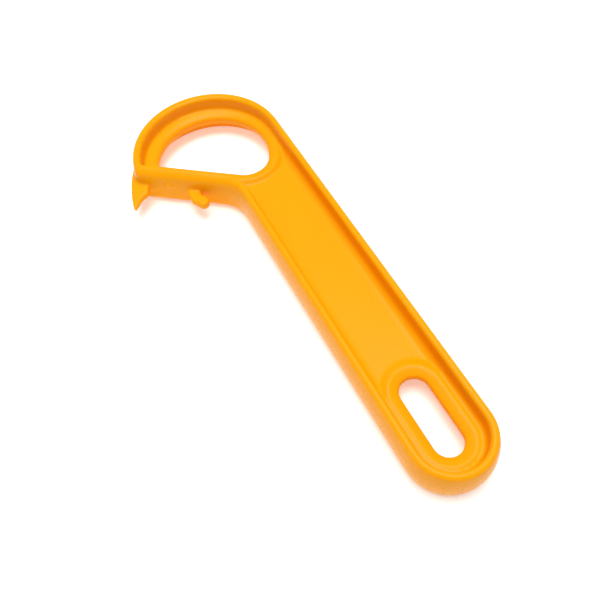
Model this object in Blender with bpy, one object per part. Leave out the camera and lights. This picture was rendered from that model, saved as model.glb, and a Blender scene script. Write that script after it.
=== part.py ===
"""One-piece moulded opener for jar lids and bottle caps.

The opener lies flat on its lower rim. X runs along the handle with the head at +X, Y points to the
side that carries the claw, and Z is up. The drawing below has its own origin at the centre of the
handle's round tail, and the finished body is moved so that the world origin is at the middle of the
bottom face of its bounding box. Lengths are in metres.
"""
import math

import bmesh
import bpy
from mathutils import Vector

MM = 0.001

# Overall sizes
THICKNESS = 14.0 * MM
HANDLE_WIDTH = 26.1 * MM
ARCH_RADIUS = 26.5 * MM
ARCH_CENTRE_X = 123.0 * MM
CHORD_DISTANCE = 15.1 * MM
CHORD_ANGLE = math.radians(51.8)
CHORD_CORNER_RADIUS = 3.4 * MM
THROAT_RADIUS = 11.0 * MM

# Section of the rim and the web
RIM_WIDTH = 3.4 * MM
CHORD_RIM_WIDTH = 4.8 * MM
ARCH_RIM_EXTRA = 0.9 * MM
WEB_THICKNESS = 2.2 * MM
DRAFT = math.radians(1.2)
WALL_BOW = 1.2 * MM
OUTER_EDGE_RADIUS = 1.4 * MM
INNER_EDGE_RADIUS = 0.45 * MM
CHANNEL_FILLET = 2.5 * MM

# Raised lip that runs round each hole
LIP_WIDTH = 4.4 * MM
LIP_CREST = 2.5 * MM
LIP_HEIGHT = 4.2 * MM
LIP_ROOT = 0.4 * MM
CUTTER_MARGIN = 1.0 * MM
MERGE_DISTANCE = 0.01 * MM
LEAST_CORNER_RADIUS = 0.05 * MM

# Hanging slot in the tail
SLOT_WIDTH = 9.3 * MM
SLOT_SPACING = 15.6 * MM

# Finger opening in the head
FINGER_ARCH_RADIUS = 19.5 * MM
FINGER_END_RADIUS = 8.3 * MM
FINGER_CHORD_DISTANCE = 6.5 * MM
FINGER_OFFSET = (-1.0 * MM, -0.6 * MM)
FINGER_CORNER_RADIUS = 1.3 * MM

# Claw and tab on the straight edge of the head
CLAW_THICKNESS = 3.2 * MM
CLAW_TIP_THICKNESS = 1.2 * MM
TAB_THICKNESS = 2.8 * MM
CLAW_ROOT = 14.5 * MM
CLAW_REACH = 11.4 * MM
CLAW_BOW = 0.9 * MM
TAB_END_RADIUS = 2.0 * MM
TAB_END_START = math.radians(5)
TAB_END_SWEEP = math.radians(130)
PLATE_EDGE = 0.35 * MM
NIB_RADIUS = 0.7 * MM
NIB_ALONG = 10.5 * MM
NIB_HEIGHT = 8.9 * MM

# Smoothness of the round stretches
ARC_STEP = math.radians(7.5)
HEAD_STEPS = 26
CORNER_STEPS = 4
THROAT_STEPS = 8
SLOT_STEPS = 16
FINGER_ARCH_STEPS = 28
FINGER_CORNER_STEPS = 5
FINGER_END_STEPS = 12
CLAW_STEPS = 7
TAB_END_STEPS = 9
WALL_STEPS = 3
PROFILE_STEPS = 3
LIP_STEPS = 6

HALF_WIDTH = HANDLE_WIDTH / 2
MID_HEIGHT = THICKNESS / 2
WEB_TOP = MID_HEIGHT + WEB_THICKNESS / 2
ARCH_CENTRE = Vector((ARCH_CENTRE_X, ARCH_RADIUS - HALF_WIDTH))
CHORD_DIRECTION = Vector((math.cos(CHORD_ANGLE), math.sin(CHORD_ANGLE)))
CHORD_NORMAL = Vector((-CHORD_DIRECTION.y, CHORD_DIRECTION.x))
FINGER_CENTRE = ARCH_CENTRE + Vector(FINGER_OFFSET)


def clear_scene():
    """Remove every object, so that the script gives the same result in any file."""
    for item in list(bpy.data.objects):
        bpy.data.objects.remove(item, do_unlink=True)


def arc(centre, radius, start, sweep, steps=None):
    """Points on an arc from the start angle through the sweep, both ends included."""
    if steps is None:
        steps = max(2, round(abs(sweep) / ARC_STEP))
    angles = [start + sweep * i / steps for i in range(steps + 1)]
    return [centre + radius * Vector((math.cos(a), math.sin(a))) for a in angles]


def angle_of(vector):
    """Direction of a plan vector, from 0 to 2 pi."""
    return math.atan2(vector.y, vector.x) % math.tau


def chord_point(distance, along, centre=ARCH_CENTRE):
    """Point at a distance outside a centre and a length along the chord."""
    return centre + distance * CHORD_NORMAL + along * CHORD_DIRECTION


def along_at_height(y, distance, centre):
    """Length along the chord at which a line this far from a centre reaches a plan height y."""
    return (y - centre.y - distance * CHORD_NORMAL.y) / CHORD_DIRECTION.y


def rounded_corner(centre, arch, chord, corner, side):
    """Centre of the circle that rounds the corner of an arch and its chord, on one side."""
    along = side * math.sqrt((arch - corner) ** 2 - (chord - corner) ** 2)
    return chord_point(chord - corner, along, centre)


def body_outline(inset, chord_inset, arch_shift):
    """Outline of the opener moved inwards, anticlockwise, always with the same point count.

    The chord has its own inset, and the arch may be shifted to the handle to leave a wider rim.
    """
    half = HALF_WIDTH - inset
    arch = ARCH_RADIUS - inset
    centre = ARCH_CENTRE - Vector((arch_shift, 0))
    chord = CHORD_DISTANCE - chord_inset
    corner = max(CHORD_CORNER_RADIUS - inset, LEAST_CORNER_RADIUS)
    throat = THROAT_RADIUS + inset

    corner_centre = rounded_corner(centre, arch, chord, corner, 1)
    corner_start = angle_of(corner_centre - centre)
    chord_side = angle_of(CHORD_NORMAL)

    throat_y = half + throat
    throat_along = along_at_height(throat_y, chord + throat, centre)
    throat_centre = chord_point(chord + throat, throat_along, centre)
    throat_start = chord_side + math.pi

    tail = arc(Vector((0, 0)), half, math.pi / 2, math.pi)
    head = arc(centre, arch, -math.pi / 2, corner_start + math.pi / 2, HEAD_STEPS)
    turn = arc(corner_centre, corner, corner_start, chord_side - corner_start, CORNER_STEPS)
    concave = arc(throat_centre, throat, throat_start, 1.5 * math.pi - throat_start, THROAT_STEPS)
    return tail + head + turn + concave


def slot_outline(grow):
    """Outline of the hanging slot moved outwards, anticlockwise."""
    radius = SLOT_WIDTH / 2 + grow
    near = arc(Vector((0, 0)), radius, math.pi / 2, math.pi, SLOT_STEPS)
    far = arc(Vector((SLOT_SPACING, 0)), radius, -math.pi / 2, math.pi, SLOT_STEPS)
    return near + far


def finger_outline(grow):
    """Outline of the finger opening moved outwards, anticlockwise.

    It is a segment of a circle with a small rounding at the claw end of its chord and a large one at
    the handle end.
    """
    arch = FINGER_ARCH_RADIUS + grow
    chord = FINGER_CHORD_DISTANCE + grow
    corner = FINGER_CORNER_RADIUS + grow
    end = FINGER_END_RADIUS + grow

    corner_centre = rounded_corner(FINGER_CENTRE, arch, chord, corner, 1)
    corner_start = angle_of(corner_centre - FINGER_CENTRE)
    chord_side = angle_of(CHORD_NORMAL)
    end_centre = rounded_corner(FINGER_CENTRE, arch, chord, end, -1)
    end_stop = angle_of(end_centre - FINGER_CENTRE)

    head_sweep = corner_start - end_stop + math.tau
    head = arc(FINGER_CENTRE, arch, end_stop - math.tau, head_sweep, FINGER_ARCH_STEPS)
    turn = arc(corner_centre, corner, corner_start, chord_side - corner_start, FINGER_CORNER_STEPS)
    close = arc(end_centre, end, chord_side, end_stop - chord_side, FINGER_END_STEPS)
    return head + turn + close


def quarter_turns(steps):
    """Angles from 0 to a right angle in equal steps."""
    return [math.pi / 2 * step / steps for step in range(steps + 1)]


def rim_profile():
    """Upper half of the rim section, from the parting line over the rim to the web.

    Each entry is (inset, inset on the chord, shift of the arch, height). The wall bows out to the
    parting line everywhere but on the chord, which is straight.
    """
    edge = OUTER_EDGE_RADIUS
    outer = []
    for step in range(WALL_STEPS + 1):
        rise = (MID_HEIGHT - edge) * step / WALL_STEPS
        outer.append((WALL_BOW * (rise / MID_HEIGHT) ** 2, 0.0, 0.0, MID_HEIGHT + rise))
    bow = outer[-1][0]
    for turn in quarter_turns(PROFILE_STEPS)[1:]:
        rounding = edge * (1 - math.cos(turn))
        outer.append((bow + rounding, rounding, 0.0, THICKNESS - edge * (1 - math.sin(turn))))

    radius = INNER_EDGE_RADIUS
    taper = math.tan(DRAFT) * (THICKNESS - WEB_TOP)
    wall = []
    for turn in quarter_turns(PROFILE_STEPS):
        depth = -taper - radius * (1 - math.sin(turn))
        wall.append((depth, THICKNESS - radius * (1 - math.cos(turn))))
    for turn in quarter_turns(PROFILE_STEPS + 1):
        depth = CHANNEL_FILLET * (1 - math.cos(turn))
        wall.append((depth, WEB_TOP + CHANNEL_FILLET * (1 - math.sin(turn))))
    inner = [
        (RIM_WIDTH + depth, CHORD_RIM_WIDTH + depth, ARCH_RIM_EXTRA, height)
        for depth, height in wall
    ]
    return outer + inner


def lip_profile():
    """Closed section of the lip as (distance from the hole, height) pairs, hole on the left."""
    rise = LIP_HEIGHT / 2
    upper = []
    for step in range(LIP_STEPS + 1):
        turn = math.pi / 2 * step / LIP_STEPS
        upper.append((LIP_CREST * (1 - math.cos(turn)), rise * math.sin(turn)))
    root = WEB_THICKNESS / 2 - LIP_ROOT
    for step in range(1, LIP_STEPS + 1):
        share = step / LIP_STEPS
        fall = (1 - math.cos(math.pi * share)) / 2
        upper.append((LIP_CREST + (LIP_WIDTH - LIP_CREST) * share, rise + (root - rise) * fall))
    lower = [(distance, -height) for distance, height in reversed(upper[1:])]
    return [(distance, MID_HEIGHT + height) for distance, height in upper + lower]


def loft(name, loops, cyclic=False):
    """Closed body through loops of equal length, capped at both ends unless the loops close up."""
    mesh = bpy.data.meshes.new(name)
    work = bmesh.new()
    rings = [[work.verts.new(point) for point in loop] for loop in loops]
    pairs = list(zip(rings, rings[1:]))
    if cyclic:
        pairs.append((rings[-1], rings[0]))
    for lower, upper in pairs:
        count = len(lower)
        for i in range(count):
            j = (i + 1) % count
            work.faces.new((lower[i], lower[j], upper[j], upper[i]))
    if not cyclic:
        work.faces.new(list(reversed(rings[0])))
        work.faces.new(rings[-1])
    bmesh.ops.remove_doubles(work, verts=work.verts, dist=MERGE_DISTANCE)
    bmesh.ops.recalc_face_normals(work, faces=work.faces)
    work.to_mesh(mesh)
    work.free()
    item = bpy.data.objects.new(name, mesh)
    bpy.context.collection.objects.link(item)
    return item


def raised(outline, height):
    """The plan points of an outline at one height."""
    return [Vector((point.x, point.y, height)) for point in outline]


def make_channel_body():
    """The outer wall, both rims and the web, as one loft round the outline."""
    upper = rim_profile()
    lower = [
        (inset, chord, shift, THICKNESS - height)
        for inset, chord, shift, height in reversed(upper[1:])
    ]
    loops = []
    for inset, chord, shift, height in lower + upper:
        loops.append(raised(body_outline(inset, chord, shift), height))
    return loft("opener_body", loops)


def make_lip(name, outline_at):
    """A raised lip swept round one hole."""
    loops = [raised(outline_at(distance), height) for distance, height in lip_profile()]
    return loft(name, loops, cyclic=True)


def make_cutter(name, outline_at):
    """A straight plug that clears the web inside a lip."""
    outline = outline_at(LIP_CREST)
    top = THICKNESS + CUTTER_MARGIN
    cutter = loft(name, [raised(outline, -CUTTER_MARGIN), raised(outline, top)])
    cutter.hide_render = True
    cutter.display_type = "WIRE"
    return cutter


def bowed(start, end, bow, steps):
    """Points from start to end, end excluded, bowed to the right of the way by the given height."""
    way = end - start
    side = Vector((way.y, -way.x)).normalized()
    points = []
    for step in range(steps):
        share = step / steps
        points.append(start + way * share + side * bow * 4 * share * (1 - share))
    return points


def claw_outline():
    """Claw at the arch end of the chord, anticlockwise, from the arch to the tip and back."""
    arch_root = chord_point(8.5 * MM, 24.9 * MM)
    tip_outer = chord_point(25.4 * MM, 19.9 * MM)
    tip_inner = chord_point(25.9 * MM, 19.1 * MM)
    neck = chord_point(20.3 * MM, 18.2 * MM)
    shoulder = chord_point(18.3 * MM, 16.9 * MM)
    wall_root = chord_point(13.4 * MM, 18.2 * MM)
    buried = chord_point(12.0 * MM, 21.5 * MM)
    outer = bowed(arch_root, tip_outer, CLAW_BOW, CLAW_STEPS)
    return outer + [tip_outer, tip_inner, neck, shoulder, wall_root, buried]


def claw_thickness(point):
    """The claw thins from its root to its tip."""
    reach = (point - ARCH_CENTRE).dot(CHORD_NORMAL) - CLAW_ROOT
    share = min(1.0, max(0.0, reach / CLAW_REACH))
    return CLAW_THICKNESS + (CLAW_TIP_THICKNESS - CLAW_THICKNESS) * share


def tab_outline():
    """Tab on the chord, leaning to the handle, with a round end, anticlockwise."""
    far_root = chord_point(14.5 * MM, 4.9 * MM)
    far_foot = chord_point(16.6 * MM, 3.6 * MM)
    far_side = chord_point(19.8 * MM, 1.5 * MM)
    end_centre = chord_point(19.3 * MM, -2.4 * MM)
    bump = chord_point(17.4 * MM, -2.7 * MM)
    notch = chord_point(17.0 * MM, -1.4 * MM)
    near_foot = chord_point(15.8 * MM, -0.5 * MM)
    near_root = chord_point(14.5 * MM, -0.3 * MM)
    start = angle_of(CHORD_NORMAL) + TAB_END_START
    round_end = arc(end_centre, TAB_END_RADIUS, start, TAB_END_SWEEP, TAB_END_STEPS)
    return [far_root, far_foot, far_side] + round_end + [bump, notch, near_foot, near_root]


def make_plate(name, outline, thickness_at):
    """A flat plate about mid-height whose thickness may change from point to point."""
    top = [Vector((p.x, p.y, MID_HEIGHT + thickness_at(p) / 2)) for p in outline]
    bottom = [Vector((p.x, p.y, MID_HEIGHT - thickness_at(p) / 2)) for p in outline]
    plate = loft(name, [bottom, top])
    bevel = plate.modifiers.new("edge", "BEVEL")
    bevel.width = PLATE_EDGE
    bevel.segments = 2
    bevel.limit_method = "ANGLE"
    apply_modifiers(plate)
    return plate


def make_nib(name):
    """Small round gate mark that stands on the chord wall."""
    place = chord_point(CHORD_DISTANCE - NIB_RADIUS / 4, NIB_ALONG)
    mesh = bpy.data.meshes.new(name)
    work = bmesh.new()
    bmesh.ops.create_icosphere(work, subdivisions=2, radius=NIB_RADIUS)
    bmesh.ops.translate(work, verts=work.verts, vec=(place.x, place.y, NIB_HEIGHT))
    work.to_mesh(mesh)
    work.free()
    item = bpy.data.objects.new(name, mesh)
    bpy.context.collection.objects.link(item)
    return item


def apply_modifiers(item):
    """Turn the modified shape into the object's own mesh."""
    bpy.context.view_layer.update()
    depsgraph = bpy.context.evaluated_depsgraph_get()
    result = bpy.data.meshes.new_from_object(item.evaluated_get(depsgraph))
    item.modifiers.clear()
    item.data = result


def combine(target, other, operation):
    """Join the other body to the target, or cut it out, and remove it."""
    modifier = target.modifiers.new(operation.lower(), "BOOLEAN")
    modifier.object = other
    modifier.operation = operation
    modifier.solver = "EXACT"
    apply_modifiers(target)
    bpy.data.objects.remove(other, do_unlink=True)


def moulded_plastic():
    """Glossy yellow-orange polypropylene."""
    material = bpy.data.materials.new("moulded_plastic")
    material.use_nodes = True
    shader = material.node_tree.nodes["Principled BSDF"]
    shader.inputs["Base Color"].default_value = (0.95, 0.40, 0.01, 1.0)
    shader.inputs["Roughness"].default_value = 0.3
    shader.inputs["Metallic"].default_value = 0.0
    return material


def centre_on_origin(item):
    """Put the middle of the bounding box's bottom face at the world origin."""
    corners = [vertex.co for vertex in item.data.vertices]
    low = Vector([min(corner[axis] for corner in corners) for axis in range(3)])
    high = Vector([max(corner[axis] for corner in corners) for axis in range(3)])
    middle = (low + high) / 2
    for vertex in item.data.vertices:
        vertex.co -= Vector((middle.x, middle.y, low.z))


def shade_smooth(item):
    """Smooth shading that keeps the edges between flat and steep faces crisp."""
    for polygon in item.data.polygons:
        polygon.use_smooth = True
    item.data.set_sharp_from_angle(angle=math.radians(35))


def build_opener():
    """The whole opener as one moulded body."""
    body = make_channel_body()
    combine(body, make_cutter("slot_cutter", slot_outline), "DIFFERENCE")
    combine(body, make_cutter("finger_cutter", finger_outline), "DIFFERENCE")
    combine(body, make_lip("slot_lip", slot_outline), "UNION")
    combine(body, make_lip("finger_lip", finger_outline), "UNION")
    combine(body, make_plate("claw", claw_outline(), claw_thickness), "UNION")
    combine(body, make_plate("tab", tab_outline(), lambda point: TAB_THICKNESS), "UNION")
    combine(body, make_nib("nib"), "UNION")
    centre_on_origin(body)
    shade_smooth(body)
    body.data.materials.clear()
    body.data.materials.append(moulded_plastic())
    return body


clear_scene()
build_opener()
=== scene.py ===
"""Looks and studio for a one-piece moulded opener for jar lids and bottle caps.

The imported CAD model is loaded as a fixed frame. Its single node is replaced by a finer moulding on
the same plan, whose rims, lips, claw and tab run into each other with the soft roundings of an
injection-moulded part. Lengths are in metres unless a name ends in _mm.
"""
import logging
import math
from dataclasses import dataclass, field
from enum import Enum
from typing import Callable, Iterable, Sequence

import bmesh
import bpy
from mathutils import Matrix, Vector

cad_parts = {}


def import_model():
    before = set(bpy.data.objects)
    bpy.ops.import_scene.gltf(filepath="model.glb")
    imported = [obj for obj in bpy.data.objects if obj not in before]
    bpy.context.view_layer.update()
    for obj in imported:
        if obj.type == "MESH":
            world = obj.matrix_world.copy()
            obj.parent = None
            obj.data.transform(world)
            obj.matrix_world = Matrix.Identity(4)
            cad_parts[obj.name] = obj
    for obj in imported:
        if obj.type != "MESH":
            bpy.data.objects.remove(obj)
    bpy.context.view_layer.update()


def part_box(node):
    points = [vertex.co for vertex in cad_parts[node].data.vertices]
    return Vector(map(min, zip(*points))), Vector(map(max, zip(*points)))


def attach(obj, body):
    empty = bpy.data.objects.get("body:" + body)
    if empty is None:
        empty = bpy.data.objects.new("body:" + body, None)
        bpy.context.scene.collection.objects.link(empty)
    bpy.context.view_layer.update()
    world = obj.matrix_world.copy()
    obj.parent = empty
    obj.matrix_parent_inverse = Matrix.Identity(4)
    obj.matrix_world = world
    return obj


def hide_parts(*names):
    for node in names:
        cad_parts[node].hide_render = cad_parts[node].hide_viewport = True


MM = 0.001
WELD = 0.01 * MM
LEAST_CORNER = 0.05 * MM
TAIL_STEPS = 24
ARCH_STEPS = 30
CORNER_STEPS = 6
THROAT_STEPS = 10
FINGER_END_STEPS = 14
LOG = logging.getLogger("opener")
BODY = "root"
NODE = "opener_body"
Outline = Callable[[float], list[Vector]]
Loop = list[Vector]


class ChordEnd(Enum):
    """Which end of the head's straight edge: the claw's or the handle's."""

    CLAW = 1
    HANDLE = -1


# ---------------------------------------------------------------- colour and nodes


def linear(hex_colour: str) -> tuple[float, float, float, float]:
    """Turn an sRGB hex colour into linear RGBA.

    Args:
        hex_colour: six hex digits, with or without a leading #.

    Returns:
        The linear red, green, blue and an alpha of 1.
    """
    digits = hex_colour.lstrip("#")
    channels = []
    for start in (0, 2, 4):
        value = int(digits[start:start + 2], 16) / 255
        channels.append(value / 12.92 if value <= 0.04045 else ((value + 0.055) / 1.055) ** 2.4)
    return channels[0], channels[1], channels[2], 1.0


def add_node(
    tree: bpy.types.NodeTree,
    kind: str,
    settings: dict[str, object] | None = None,
    inputs: dict[str | int, object] | None = None,
) -> bpy.types.Node:
    """Add a node with its settings and its inputs.

    Args:
        tree: the node tree.
        kind: the node's type name.
        settings: attributes of the node.
        inputs: a value for each input, or another node's output socket to link to it.

    Returns:
        The new node.
    """
    node = tree.nodes.new(kind)
    for name, value in (settings or {}).items():
        setattr(node, name, value)
    for name, value in (inputs or {}).items():
        socket = node.inputs[name]
        if isinstance(value, bpy.types.NodeSocket):
            tree.links.new(value, socket)
        else:
            socket.default_value = value
    return node


# ---------------------------------------------------------------- plan drawing


def arc(centre: Vector, radius: float, start: float, sweep: float, steps: int) -> Loop:
    """Points on an arc, both ends included.

    Args:
        centre: centre in plan.
        radius: radius of the arc.
        start: first angle.
        sweep: turn from the first angle to the last.
        steps: number of equal steps.

    Returns:
        The points in order.
    """
    angles = [start + sweep * i / steps for i in range(steps + 1)]
    return [centre + radius * Vector((math.cos(a), math.sin(a))) for a in angles]


def angle_of(vector: Vector) -> float:
    """Direction of a plan vector, from 0 to 2 pi."""
    return math.atan2(vector.y, vector.x) % math.tau


def at_height(outline: Iterable[Vector], height: float) -> Loop:
    """The plan points of an outline at one height."""
    return [Vector((p.x, p.y, height)) for p in outline]


def clean_loop(points: Loop) -> Loop:
    """The loop without points that repeat the one before."""
    kept = [p for i, p in enumerate(points) if (p - points[i - 1]).length > WELD]
    return kept


def quarter_turns(steps: int) -> list[float]:
    """Angles from 0 to a right angle in equal steps."""
    return [math.pi / 2 * i / steps for i in range(steps + 1)]


@dataclass(frozen=True)
class Plan:
    """Plan of the opener, drawn from the centre of the handle's round tail.

    The head is at +X and the claw side at +Y. Distances across the chord, which is the head's
    straight edge, are measured from the arch's centre.
    """

    thickness: float = 14.0 * MM
    half_width: float = 13.05 * MM
    arch_radius: float = 26.5 * MM
    arch_centre_x: float = 123.0 * MM
    chord_distance: float = 15.1 * MM
    chord_angle: float = math.radians(51.8)
    corner_radius: float = 3.4 * MM
    throat_radius: float = 11.0 * MM
    slot_radius: float = 4.65 * MM
    slot_spacing: float = 15.6 * MM
    finger_arch: float = 19.5 * MM
    finger_end: float = 8.3 * MM
    finger_chord: float = 6.5 * MM
    finger_corner: float = 1.0 * MM
    finger_offset: tuple[float, float] = (-1.0 * MM, -0.6 * MM)
    fineness: int = 3

    @property
    def arch_centre(self) -> Vector:
        """Centre of the arch of the head."""
        return Vector((self.arch_centre_x, self.arch_radius - self.half_width))

    @property
    def along(self) -> Vector:
        """Unit vector along the chord, towards the claw."""
        return Vector((math.cos(self.chord_angle), math.sin(self.chord_angle)))

    @property
    def out(self) -> Vector:
        """Unit vector square to the chord, out of the head."""
        return Vector((-math.sin(self.chord_angle), math.cos(self.chord_angle)))

    def chord_point(self, distance: float, along: float, centre: Vector | None = None) -> Vector:
        """Point at a distance outside a centre and a length along the chord."""
        return (centre or self.arch_centre) + distance * self.out + along * self.along

    def corner(
        self, centre: Vector, arch: float, chord: float, radius: float, end: ChordEnd
    ) -> Vector:
        """Centre of the circle that rounds the corner of an arch and its chord at one end."""
        along = end.value * math.sqrt((arch - radius) ** 2 - (chord - radius) ** 2)
        return self.chord_point(chord - radius, along, centre)

    def body(self, inset: float, chord_inset: float, shift: float) -> Loop:
        """Outline of the opener moved inwards, anticlockwise.

        Args:
            inset: how far the outline is moved in.
            chord_inset: how far the chord is moved in.
            shift: how far the arch is moved to the handle.

        Returns:
            The points, always the same number of them.
        """
        half = self.half_width - inset
        arch = self.arch_radius - inset
        centre = self.arch_centre - Vector((shift, 0))
        chord = self.chord_distance - chord_inset
        corner = max(self.corner_radius - inset, LEAST_CORNER)
        throat = self.throat_radius + inset
        corner_centre = self.corner(centre, arch, chord, corner, ChordEnd.CLAW)
        corner_start = angle_of(corner_centre - centre)
        chord_side = angle_of(self.out)
        reach = chord + throat
        throat_along = (half + throat - centre.y - reach * self.out.y) / self.along.y
        throat_centre = self.chord_point(reach, throat_along, centre)
        throat_start = chord_side + math.pi
        steps = self.fineness
        tail = arc(Vector((0, 0)), half, math.pi / 2, math.pi, TAIL_STEPS * steps)
        head = arc(centre, arch, -math.pi / 2, corner_start + math.pi / 2, ARCH_STEPS * steps)
        turn_sweep = chord_side - corner_start
        turn = arc(corner_centre, corner, corner_start, turn_sweep, CORNER_STEPS * steps)
        sweep = 1.5 * math.pi - throat_start
        concave = arc(throat_centre, throat, throat_start, sweep, THROAT_STEPS * steps)
        return tail + head + turn + concave

    def slot(self, grow: float) -> Loop:
        """Outline of the hanging slot moved outwards, anticlockwise."""
        radius = self.slot_radius + grow
        steps = TAIL_STEPS * self.fineness
        near = arc(Vector((0, 0)), radius, math.pi / 2, math.pi, steps)
        far = arc(Vector((self.slot_spacing, 0)), radius, -math.pi / 2, math.pi, steps)
        return near + far

    def finger(self, grow: float) -> Loop:
        """Outline of the finger opening moved outwards, anticlockwise."""
        middle = self.arch_centre + Vector(self.finger_offset)
        arch = self.finger_arch + grow
        chord = self.finger_chord + grow
        corner = self.finger_corner + grow
        end = self.finger_end + grow
        corner_centre = self.corner(middle, arch, chord, corner, ChordEnd.CLAW)
        corner_start = angle_of(corner_centre - middle)
        chord_side = angle_of(self.out)
        end_centre = self.corner(middle, arch, chord, end, ChordEnd.HANDLE)
        end_stop = angle_of(end_centre - middle)
        steps = self.fineness
        head_sweep = corner_start - end_stop + math.tau
        head = arc(middle, arch, end_stop - math.tau, head_sweep, ARCH_STEPS * steps)
        turn_sweep = chord_side - corner_start
        turn = arc(corner_centre, corner, corner_start, turn_sweep, CORNER_STEPS * steps)
        close = arc(end_centre, end, chord_side, end_stop - chord_side, FINGER_END_STEPS * steps)
        return head + turn + close


PLAN = Plan()


# ---------------------------------------------------------------- mesh helpers


def link(mesh: bpy.types.Mesh, name: str) -> bpy.types.Object:
    """Put a mesh into the scene as an object at the origin."""
    item = bpy.data.objects.new(name, mesh)
    bpy.context.collection.objects.link(item)
    return item


def discard(items: Sequence[bpy.types.Object]) -> None:
    """Remove helper objects from the file."""
    for item in items:
        bpy.data.objects.remove(item, do_unlink=True)


def loft(name: str, loops: Sequence[Loop], cyclic: bool = False) -> bpy.types.Object:
    """Closed body through loops of equal length.

    Args:
        name: name of the new object.
        loops: the loops in order.
        cyclic: join the last loop to the first instead of capping both.

    Returns:
        The new object.
    """
    mesh = bpy.data.meshes.new(name)
    work = bmesh.new()
    rings = [[work.verts.new(point) for point in loop] for loop in loops]
    pairs = list(zip(rings, rings[1:]))
    if cyclic:
        pairs.append((rings[-1], rings[0]))
    for lower, upper in pairs:
        for i in range(len(lower)):
            j = (i + 1) % len(lower)
            work.faces.new((lower[i], lower[j], upper[j], upper[i]))
    if not cyclic:
        work.faces.new(list(reversed(rings[0])))
        work.faces.new(rings[-1])
    bmesh.ops.remove_doubles(work, verts=work.verts, dist=WELD)
    bmesh.ops.recalc_face_normals(work, faces=work.faces)
    work.to_mesh(mesh)
    work.free()
    return link(mesh, name)


def evaluated_copy(item: bpy.types.Object, name: str) -> bpy.types.Mesh:
    """The object's mesh with its modifiers applied, as a new mesh."""
    graph = bpy.context.evaluated_depsgraph_get()
    mesh = bpy.data.meshes.new_from_object(item.evaluated_get(graph))
    mesh.name = name
    return mesh


def bake_modifiers(item: bpy.types.Object) -> None:
    """Replace the object's mesh by its evaluated one and drop its modifiers."""
    mesh = evaluated_copy(item, item.name)
    item.modifiers.clear()
    item.data = mesh


def cut(base: bpy.types.Object, tool: bpy.types.Object) -> None:
    """Cut a tool out of the base exactly, then remove the tool."""
    step = base.modifiers.new("cut", "BOOLEAN")
    step.object = tool
    step.operation = "DIFFERENCE"
    step.solver = "EXACT"
    bake_modifiers(base)
    discard([tool])


# ---------------------------------------------------------------- geometry node trees


def new_tree(name: str, inputs: dict[str, tuple[str, object]]) -> bpy.types.NodeTree:
    """Geometry node tree with a geometry input and output and further named inputs.

    Args:
        name: name of the tree.
        inputs: socket type and default value for each named input.

    Returns:
        The tree, with its group input and output nodes in place.
    """
    tree = bpy.data.node_groups.new(name, "GeometryNodeTree")
    face = tree.interface
    face.new_socket("Geometry", in_out="INPUT", socket_type="NodeSocketGeometry")
    for label, (kind, default) in inputs.items():
        socket = face.new_socket(label, in_out="INPUT", socket_type=kind)
        if default is not None:
            socket.default_value = default
    face.new_socket("Geometry", in_out="OUTPUT", socket_type="NodeSocketGeometry")
    add_node(tree, "NodeGroupInput")
    add_node(tree, "NodeGroupOutput")
    return tree


def apply_tree(
    item: bpy.types.Object, tree: bpy.types.NodeTree, values: dict[str, object]
) -> None:
    """Run a geometry node tree on an object and keep the result as its plain mesh.

    Args:
        item: the object.
        tree: the tree.
        values: a value for each named input.
    """
    step = item.modifiers.new(tree.name, "NODES")
    step.node_group = tree
    for entry in tree.interface.items_tree:
        if entry.item_type == "SOCKET" and entry.in_out == "INPUT" and entry.name in values:
            step[entry.identifier] = values[entry.name]
    bake_modifiers(item)


def sweep_tree() -> bpy.types.NodeTree:
    """Tree that sweeps a closed section along the edges of a closed loop."""
    tree = new_tree(
        "section_along_loop",
        {
            "Section": ("NodeSocketObject", None),
            "Scale": ("NodeSocketFloat", 1.0),
            "Material": ("NodeSocketMaterial", None),
        },
    )
    source = tree.nodes["Group Input"].outputs
    path = add_node(tree, "GeometryNodeMeshToCurve", inputs={"Mesh": source["Geometry"]})
    level = add_node(
        tree, "GeometryNodeSetCurveNormal", {"mode": "Z_UP"}, {"Curve": path.outputs[0]}
    )
    drawn = add_node(tree, "GeometryNodeObjectInfo", inputs={"Object": source["Section"]})
    ring = add_node(
        tree, "GeometryNodeMeshToCurve", inputs={"Mesh": drawn.outputs["Geometry"]}
    )
    size = add_node(
        tree,
        "ShaderNodeCombineXYZ",
        inputs={"X": source["Scale"], "Y": source["Scale"], "Z": source["Scale"]},
    )
    sized = add_node(
        tree,
        "GeometryNodeTransform",
        inputs={"Geometry": ring.outputs[0], "Scale": size.outputs[0]},
    )
    sweep = add_node(
        tree,
        "GeometryNodeCurveToMesh",
        inputs={"Curve": level.outputs[0], "Profile Curve": sized.outputs[0]},
    )
    real = add_node(tree, "GeometryNodeRealizeInstances", inputs={"Geometry": sweep.outputs[0]})
    dressed = add_node(
        tree,
        "GeometryNodeSetMaterial",
        inputs={"Geometry": real.outputs[0], "Material": source["Material"]},
    )
    tree.links.new(dressed.outputs[0], tree.nodes["Group Output"].inputs[0])
    return tree


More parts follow.
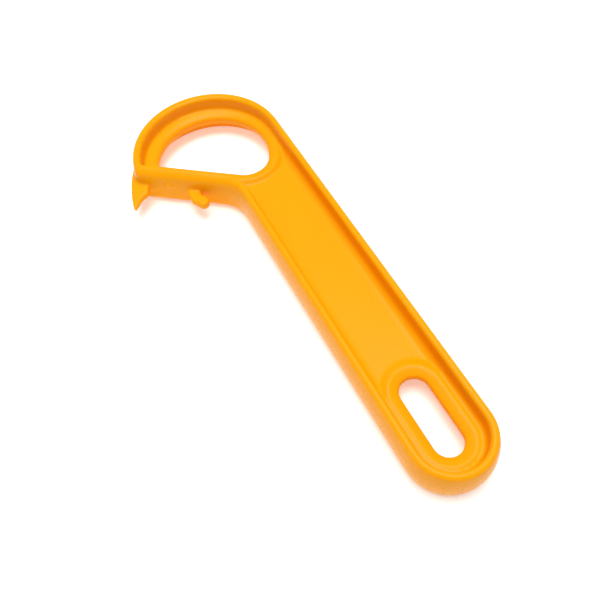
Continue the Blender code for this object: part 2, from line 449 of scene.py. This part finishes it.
def soften_tree() -> bpy.types.NodeTree:
    """Tree that rounds every edge a little by averaging neighbouring points, then shades smooth."""
    tree = new_tree(
        "soften_edges",
        {
            "Passes": ("NodeSocketInt", 3),
            "Strength": ("NodeSocketFloat", 1.0),
            "Material": ("NodeSocketMaterial", None),
        },
    )
    source = tree.nodes["Group Input"].outputs
    place = add_node(tree, "GeometryNodeInputPosition")
    blur = add_node(
        tree,
        "GeometryNodeBlurAttribute",
        {"data_type": "FLOAT_VECTOR"},
        {"Iterations": source["Passes"], "Weight": source["Strength"]},
    )
    value = next(s for s in blur.inputs if s.enabled and s.name == "Value")
    tree.links.new(place.outputs[0], value)
    moved = add_node(
        tree,
        "GeometryNodeSetPosition",
        inputs={
            "Geometry": source["Geometry"],
            "Position": next(s for s in blur.outputs if s.enabled),
        },
    )
    smooth = add_node(tree, "GeometryNodeSetShadeSmooth", inputs={"Geometry": moved.outputs[0]})
    real = add_node(tree, "GeometryNodeRealizeInstances", inputs={"Geometry": smooth.outputs[0]})
    dressed = add_node(
        tree,
        "GeometryNodeSetMaterial",
        inputs={"Geometry": real.outputs[0], "Material": source["Material"]},
    )
    tree.links.new(dressed.outputs[0], tree.nodes["Group Output"].inputs[0])
    return tree


# ---------------------------------------------------------------- finishes


@dataclass(frozen=True)
class MouldedPolypropylene:
    """Yellow-orange polypropylene, injection moulded in a polished tool.

    The pigment is even, with faint flow clouds a few centimetres long. The skin has a low satin
    sheen with a soft pebble from the tool, and a hair line where the two halves of the tool met.
    """

    name: str = "moulded_polypropylene"
    pigment: str = "FAA506"
    pigment_flow: str = "F9A104"
    roughness: float = 0.3
    roughness_spread: float = 0.06
    ior: float = 1.49
    specular: float = 0.1
    scatter: float = 0.12
    scatter_reach_mm: float = 1.2
    scatter_by_channel: tuple[float, float, float] = (1.0, 0.45, 0.1)
    cloud_mm: float = 28.0
    pebble_mm: float = 0.9
    parting_height_mm: float = 7.0
    parting_half_width_mm: float = 0.16
    parting_depth_mm: float = 0.05
    parting_strength: float = 0.35
    pebble_depth_mm: float = 0.1
    pebble_strength: float = 0.05
    pebble_low: float = 0.3
    pebble_high: float = 0.7

    def build(self) -> bpy.types.Material:
        """Make the material.

        Returns:
            The new material.
        """
        material = bpy.data.materials.new(self.name)
        material.use_nodes = True
        tree = material.node_tree
        shader = tree.nodes["Principled BSDF"]
        shader.inputs["IOR"].default_value = self.ior
        shader.inputs["Specular IOR Level"].default_value = self.specular
        shader.inputs["Subsurface Weight"].default_value = self.scatter
        shader.inputs["Subsurface Radius"].default_value = self.scatter_by_channel
        shader.inputs["Subsurface Scale"].default_value = self.scatter_reach_mm * MM
        place = add_node(tree, "ShaderNodeTexCoord").outputs["Object"]
        clouds = add_node(
            tree,
            "ShaderNodeTexNoise",
            inputs={"Vector": place, "Scale": 1 / (self.cloud_mm * MM), "Detail": 3.0},
        )
        colour = add_node(
            tree,
            "ShaderNodeMix",
            {"data_type": "RGBA"},
            {
                "Factor": clouds.outputs["Fac"],
                "A": linear(self.pigment),
                "B": linear(self.pigment_flow),
            },
        )
        tree.links.new(colour.outputs["Result"], shader.inputs["Base Color"])
        pebble = add_node(
            tree,
            "ShaderNodeTexNoise",
            inputs={"Vector": place, "Scale": 1 / (self.pebble_mm * MM), "Detail": 2.0},
        )
        gloss = add_node(
            tree,
            "ShaderNodeMapRange",
            inputs={
                "Value": pebble.outputs["Fac"],
                "From Min": self.pebble_low,
                "From Max": self.pebble_high,
                "To Min": self.roughness - self.roughness_spread,
                "To Max": self.roughness + self.roughness_spread,
            },
        )
        tree.links.new(gloss.outputs["Result"], shader.inputs["Roughness"])
        tree.links.new(self.relief(tree, place, pebble.outputs["Fac"]), shader.inputs["Normal"])
        return material

    def relief(
        self, tree: bpy.types.NodeTree, place: bpy.types.NodeSocket, pebble: bpy.types.NodeSocket
    ) -> bpy.types.NodeSocket:
        """Surface relief: tool pebble, then the parting line at mid-height.

        Args:
            tree: the material's node tree.
            place: object coordinates.
            pebble: noise that gives the pebble.

        Returns:
            The normal to use.
        """
        fine = add_node(
            tree,
            "ShaderNodeBump",
            inputs={
                "Height": pebble,
                "Strength": self.pebble_strength,
                "Distance": self.pebble_depth_mm * MM,
            },
        )
        parts = add_node(tree, "ShaderNodeSeparateXYZ", inputs={"Vector": place})
        off = add_node(
            tree,
            "ShaderNodeMath",
            {"operation": "SUBTRACT"},
            {0: parts.outputs["Z"], 1: self.parting_height_mm * MM},
        )
        away = add_node(tree, "ShaderNodeMath", {"operation": "ABSOLUTE"}, {0: off.outputs[0]})
        line = add_node(
            tree,
            "ShaderNodeMapRange",
            {"interpolation_type": "SMOOTHSTEP"},
            {
                "Value": away.outputs[0],
                "From Min": 0.0,
                "From Max": self.parting_half_width_mm * MM,
                "To Min": 1.0,
                "To Max": 0.0,
            },
        )
        seam = add_node(
            tree,
            "ShaderNodeBump",
            inputs={
                "Height": line.outputs["Result"],
                "Strength": self.parting_strength,
                "Distance": self.parting_depth_mm * MM,
                "Normal": fine.outputs["Normal"],
            },
        )
        return seam.outputs["Normal"]


@dataclass(frozen=True)
class StudioPaper:
    """Matt white paper with a faint fibre mottle, on a light table that glows through it."""

    name: str = "studio_paper"
    tone: str = "F7F7F7"
    tone_fibre: str = "F4F4F3"
    roughness: float = 0.9
    glow: float = 0.36
    fibre_mm: float = 3.0
    specular: float = 0.1

    def build(self) -> bpy.types.Material:
        """Make the material.

        Returns:
            The new material.
        """
        material = bpy.data.materials.new(self.name)
        material.use_nodes = True
        tree = material.node_tree
        shader = tree.nodes["Principled BSDF"]
        shader.inputs["Roughness"].default_value = self.roughness
        shader.inputs["Specular IOR Level"].default_value = self.specular
        shader.inputs["Emission Color"].default_value = linear(self.tone)
        shader.inputs["Emission Strength"].default_value = self.glow
        place = add_node(tree, "ShaderNodeTexCoord").outputs["Object"]
        fibre = add_node(
            tree, "ShaderNodeTexNoise", inputs={"Vector": place, "Scale": 1 / (self.fibre_mm * MM)}
        )
        colour = add_node(
            tree,
            "ShaderNodeMix",
            {"data_type": "RGBA"},
            {"Factor": fibre.outputs["Fac"], "A": linear(self.tone), "B": linear(self.tone_fibre)},
        )
        tree.links.new(colour.outputs["Result"], shader.inputs["Base Color"])
        return material


# ---------------------------------------------------------------- the moulding


@dataclass
class Channel:
    """Outer wall, rims above and below, and the web that joins them at mid-height."""

    rim_width: float = 3.4 * MM
    chord_rim_width: float = 4.8 * MM
    arch_rim_extra: float = 0.9 * MM
    web_thickness: float = 2.2 * MM
    draft: float = math.radians(1.2)
    wall_bow: float = 1.2 * MM
    outer_edge: float = 1.4 * MM
    chord_edge: float = 3.2 * MM
    inner_edge: float = 1.1 * MM
    fillet: float = 2.5 * MM
    wall_steps: int = 8
    round_steps: int = 6

    def chord_rounding(self, height: float) -> float:
        """How far the soft edge of the chord has moved in at a height."""
        into = max(0.0, height - (PLAN.thickness - self.chord_edge))
        return self.chord_edge - math.sqrt(self.chord_edge**2 - into**2)

    def section(self) -> list[tuple[float, float, float, float]]:
        """Upper half of the section, from the parting line over the rim to the web.

        Returns:
            Entries of inset, inset on the chord, shift of the arch, and height.
        """
        middle = PLAN.thickness / 2
        web_top = middle + self.web_thickness / 2
        edge = self.outer_edge
        outer = []
        for step in range(self.wall_steps + 1):
            rise = (middle - edge) * step / self.wall_steps
            bow = self.wall_bow * (rise / middle) ** 2
            outer.append((bow, self.chord_rounding(middle + rise), 0.0, middle + rise))
        bow = outer[-1][0]
        for turn in quarter_turns(self.round_steps)[1:]:
            rounding = edge * (1 - math.cos(turn))
            height = PLAN.thickness - edge * (1 - math.sin(turn))
            outer.append((bow + rounding, self.chord_rounding(height), 0.0, height))
        taper = math.tan(self.draft) * (PLAN.thickness - web_top)
        wall = []
        for turn in quarter_turns(self.round_steps):
            depth = -taper - self.inner_edge * (1 - math.sin(turn))
            wall.append((depth, PLAN.thickness - self.inner_edge * (1 - math.cos(turn))))
        for turn in quarter_turns(self.round_steps):
            depth = self.fillet * (1 - math.cos(turn))
            wall.append((depth, web_top + self.fillet * (1 - math.sin(turn))))
        inner = [
            (self.rim_width + depth, self.chord_rim_width + depth, self.arch_rim_extra, height)
            for depth, height in wall
        ]
        return outer + inner

    def build(self) -> bpy.types.Object:
        """Loft the section round the plan."""
        upper = self.section()
        lower = [(a, b, c, PLAN.thickness - height) for a, b, c, height in reversed(upper[1:])]
        loops = [at_height(PLAN.body(a, b, c), height) for a, b, c, height in lower + upper]
        return loft("channel", loops)


def closed_wire(name: str, points: Sequence[Vector]) -> bpy.types.Object:
    """Closed loop of edges through the points, in order."""
    mesh = bpy.data.meshes.new(name)
    count = len(points)
    mesh.from_pydata([tuple(p) for p in points], [(i, (i + 1) % count) for i in range(count)], [])
    return link(mesh, name)


@dataclass
class Lip:
    """Raised lip round one hole, above and below the web.

    It rises from the hole's edge in a slightly rounded slope to a narrow crest, then falls gently
    to the web. Distances are measured outwards from the hole's outline.
    """

    name: str
    outline: Outline
    edge_at: float = -0.35 * MM
    edge_height: float = 0.9 * MM
    crest_at: float = 2.5 * MM
    crest_height: float = 2.3 * MM
    bulge: float = 0.35
    hollow: float = 0.6
    foot_at: float = 5.4 * MM
    foot_height: float = 0.7 * MM
    plug_grow: float = 1.5 * MM
    steps: int = 14

    def upper_height(self, distance: float) -> float:
        """Height of the lip over mid-height at a distance from the hole."""
        if distance <= self.crest_at:
            share = (distance - self.edge_at) / (self.crest_at - self.edge_at)
            share += self.bulge * share * (1 - share)
            return self.edge_height + (self.crest_height - self.edge_height) * share
        share = (distance - self.crest_at) / (self.foot_at - self.crest_at)
        fall = 1 - share * share * (1 + self.hollow - self.hollow * share)
        return self.foot_height + (self.crest_height - self.foot_height) * fall

    def section(self) -> bpy.types.Object:
        """Closed section of the lip: X away from the hole, Y up from mid-height."""
        rise = self.crest_at - self.edge_at
        stops = [self.edge_at + rise * i / self.steps for i in range(self.steps + 1)]
        reach = self.foot_at - self.crest_at
        stops += [self.crest_at + reach * i / self.steps for i in range(1, self.steps + 1)]
        upper = [Vector((x, self.upper_height(x), 0)) for x in stops]
        lower = [Vector((p.x, -p.y, 0)) for p in reversed(upper)]
        return closed_wire(f"{self.name}_section", upper + lower)

    def plug(self) -> bpy.types.Object:
        """Cutter that clears the web inside the lip."""
        outline = self.outline(self.plug_grow)
        margin = PLAN.thickness + MM
        return loft(f"{self.name}_plug", [at_height(outline, -MM), at_height(outline, margin)])

    def build(self, tree: bpy.types.NodeTree) -> bpy.types.Object:
        """Sweep the lip's section round the hole.

        Args:
            tree: the sweep tree.

        Returns:
            The lip as a closed ring.
        """
        path = closed_wire(self.name, clean_loop(at_height(self.outline(0.0), PLAN.thickness / 2)))
        section = self.section()
        apply_tree(path, tree, {"Section": section, "Scale": 1.0})
        discard([section])
        return path


@dataclass
class EdgeTools:
    """Claw, tab and gate mark on the straight edge of the head."""

    claw_thickness: float = 3.2 * MM
    claw_tip_thickness: float = 1.3 * MM
    claw_root: float = 14.5 * MM
    claw_reach: float = 11.4 * MM
    claw_bow: float = 0.9 * MM
    tab_thickness: float = 2.8 * MM
    tab_end: float = 2.0 * MM
    nib_radius: float = 0.9 * MM
    nib_along: float = 10.3 * MM
    nib_height: float = 9.0 * MM
    nib_stretch: float = 1.3
    nib_proud: float = 0.25 * MM
    edge: float = 0.45 * MM

    def claw_outline(self) -> Loop:
        """Claw, anticlockwise, from the arch to the tip and back."""
        start = PLAN.chord_point(7.5 * MM, 25.4 * MM)
        tip_outer = PLAN.chord_point(25.4 * MM, 19.9 * MM)
        way = tip_outer - start
        side = Vector((way.y, -way.x)).normalized()
        steps = 16
        outer = []
        for step in range(steps):
            share = step / steps
            outer.append(start + way * share + side * self.claw_bow * 4 * share * (1 - share))
        inner = ((25.9, 19.1), (20.3, 18.2), (18.3, 16.9), (13.4, 18.2), (12.0, 21.5))
        return outer + [tip_outer] + [PLAN.chord_point(d * MM, a * MM) for d, a in inner]

    def claw_depth(self, point: Vector) -> float:
        """Thickness of the claw, which thins from its root to its tip."""
        reach = (point - PLAN.arch_centre).dot(PLAN.out) - self.claw_root
        share = min(1.0, max(0.0, reach / self.claw_reach))
        return self.claw_thickness + (self.claw_tip_thickness - self.claw_thickness) * share

    def tab_outline(self) -> Loop:
        """Tab with a round end, leaning to the handle, anticlockwise."""
        front = ((14.5, 4.9), (16.6, 3.6), (19.8, 1.5))
        first = [PLAN.chord_point(d * MM, a * MM) for d, a in front]
        centre = PLAN.chord_point(19.3 * MM, -2.4 * MM)
        start = angle_of(PLAN.out) + math.radians(5)
        end = arc(centre, self.tab_end, start, math.radians(130), 20)
        back = ((17.4, -2.7), (17.0, -1.4), (15.8, -0.5), (14.5, -0.3))
        return first + end + [PLAN.chord_point(d * MM, a * MM) for d, a in back]

    def plate(self, name: str, outline: Loop, depth: Callable[[Vector], float]) -> bpy.types.Object:
        """Flat plate about mid-height with rounded edges."""
        middle = PLAN.thickness / 2
        top = [Vector((p.x, p.y, middle + depth(p) / 2)) for p in outline]
        bottom = [Vector((p.x, p.y, middle - depth(p) / 2)) for p in outline]
        item = loft(name, [bottom, top])
        bevel = item.modifiers.new("edge", "BEVEL")
        bevel.width = self.edge
        bevel.segments = 3
        bevel.limit_method = "ANGLE"
        bake_modifiers(item)
        return item

    def nib(self) -> bpy.types.Object:
        """Stub left where the plastic entered the tool."""
        place = PLAN.chord_point(PLAN.chord_distance + self.nib_proud, self.nib_along)
        mesh = bpy.data.meshes.new("gate_nib")
        work = bmesh.new()
        bmesh.ops.create_icosphere(work, subdivisions=3, radius=self.nib_radius)
        bmesh.ops.scale(work, verts=work.verts, vec=(1, 1, self.nib_stretch))
        bmesh.ops.translate(work, verts=work.verts, vec=(place.x, place.y, self.nib_height))
        work.to_mesh(mesh)
        work.free()
        return link(mesh, "gate_nib")

    def build(self) -> list[bpy.types.Object]:
        """Make the claw, the tab and the gate mark."""
        claw = self.plate("claw", self.claw_outline(), self.claw_depth)
        tab = self.plate("tab", self.tab_outline(), lambda point: self.tab_thickness)
        return [claw, tab, self.nib()]


@dataclass
class OpenerMoulding:
    """The whole opener as the one moulding it is."""

    name: str = "opener_moulding"
    channel: Channel = field(default_factory=Channel)
    tools: EdgeTools = field(default_factory=EdgeTools)
    grain: float = 0.46 * MM
    passes: int = 2

    def lips(self) -> list[Lip]:
        """The lips round the hanging slot and the finger opening."""
        slot = Lip("slot_lip", PLAN.slot)
        finger = Lip(
            "finger_lip",
            PLAN.finger,
            edge_at=-0.5 * MM,
            edge_height=1.1 * MM,
            crest_at=2.5 * MM,
            crest_height=2.3 * MM,
            foot_at=4.6 * MM,
            bulge=0.8,
        )
        return [slot, finger]

    def build(self, material: bpy.types.Material, origin: Vector) -> bpy.types.Object:
        """Fuse the wall, web, lips, claw and tab into one closed skin.

        Args:
            material: the plastic.
            origin: where the drawing's own origin lies in the row frame.

        Returns:
            The finished piece, at the origin with its place in its mesh.
        """
        body = self.channel.build()
        tree = sweep_tree()
        extras = []
        for lip in self.lips():
            cut(body, lip.plug())
            extras.append(lip.build(tree))
        extras += self.tools.build()
        work = bmesh.new()
        for item in [body] + extras:
            work.from_mesh(item.data)
        bmesh.ops.translate(work, verts=work.verts, vec=(origin.x, origin.y, 0))
        mesh = bpy.data.meshes.new(self.name)
        work.to_mesh(mesh)
        work.free()
        discard([body] + extras)
        item = link(mesh, self.name)
        fuse = item.modifiers.new("fuse", "REMESH")
        fuse.mode = "VOXEL"
        fuse.voxel_size = self.grain
        fuse.use_smooth_shade = True
        bake_modifiers(item)
        softening = {"Passes": self.passes, "Strength": 1.0, "Material": material}
        apply_tree(item, soften_tree(), softening)
        return item


# ---------------------------------------------------------------- studio


@dataclass
class Studio:
    """Glowing paper floor, one soft light overhead, an even white sky and the camera."""

    origin: Vector
    floor_size: float = 3.0
    camera_place_mm: tuple[float, float, float] = (-39.063, 52.283, 174.339)
    camera_aim_mm: tuple[float, float, float] = (61.232, 11.666, 0.0)
    camera_roll: float = math.radians(-6.563)
    lens_mm: float = 39.82
    sensor_mm: float = 36.0
    sky: str = "FFFFFF"
    sky_strength: float = 0.31
    softbox_place_mm: tuple[float, float, float] = (60, -40, 900)
    softbox_size_mm: float = 620
    softbox_power: float = 8.8

    def world_point(self, place_mm: tuple[float, float, float]) -> Vector:
        """Point of the drawing, in millimetres, in the row frame."""
        x, y, z = place_mm
        return Vector((x * MM + self.origin.x, y * MM + self.origin.y, z * MM))

    def floor(self) -> bpy.types.Object:
        """Plain paper floor under the opener."""
        mesh = bpy.data.meshes.new("paper_floor")
        work = bmesh.new()
        bmesh.ops.create_grid(work, x_segments=1, y_segments=1, size=self.floor_size / 2)
        work.to_mesh(mesh)
        work.free()
        mesh.materials.append(StudioPaper().build())
        return link(mesh, "paper_floor")

    def camera(self) -> None:
        """Camera over the claw side of the handle."""
        data = bpy.data.cameras.new("camera")
        data.lens = self.lens_mm
        data.sensor_width = self.sensor_mm
        data.clip_start = 1 * MM
        item = bpy.data.objects.new("camera", data)
        bpy.context.collection.objects.link(item)
        place = self.world_point(self.camera_place_mm)
        look = self.world_point(self.camera_aim_mm) - place
        turn = look.to_track_quat("-Z", "Y").to_matrix().to_4x4()
        roll = Matrix.Rotation(self.camera_roll, 4, "Z")
        item.matrix_world = Matrix.Translation(place) @ turn @ roll
        bpy.context.scene.camera = item

    def softbox(self) -> None:
        """Square soft light over the opener, facing its middle."""
        data = bpy.data.lights.new("top_softbox", "AREA")
        data.size = self.softbox_size_mm * MM
        data.energy = self.softbox_power
        item = bpy.data.objects.new("top_softbox", data)
        bpy.context.collection.objects.link(item)
        place = Vector(self.softbox_place_mm) * MM
        turn = (-place).to_track_quat("-Z", "Y").to_matrix().to_4x4()
        item.matrix_world = Matrix.Translation(place) @ turn

    def build(self) -> None:
        """Set the floor, the light, the world and the camera."""
        self.floor()
        self.softbox()
        world = bpy.data.worlds.new("studio_air")
        world.use_nodes = True
        background = world.node_tree.nodes["Background"]
        background.inputs["Color"].default_value = linear(self.sky)
        background.inputs["Strength"].default_value = self.sky_strength
        bpy.context.scene.world = world
        bpy.context.scene.view_settings.view_transform = "Standard"
        self.camera()


# ---------------------------------------------------------------- assembly


def drawing_origin() -> Vector:
    """Where the centre of the handle's round tail lies in the row frame."""
    low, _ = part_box(NODE)
    return Vector((low[0] + PLAN.half_width, low[1] + PLAN.half_width))


def main() -> None:
    """Load the frame, build the pieces and the studio, and note the sizes."""
    logging.basicConfig(level=logging.INFO, format="%(message)s")
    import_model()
    origin = drawing_origin()
    piece = OpenerMoulding().build(MouldedPolypropylene().build(), origin)
    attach(piece, BODY)
    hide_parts(NODE)
    LOG.info("%s: %d faces", piece.name, len(piece.data.polygons))
    Studio(origin).build()


if __name__ == "__main__":
    main()
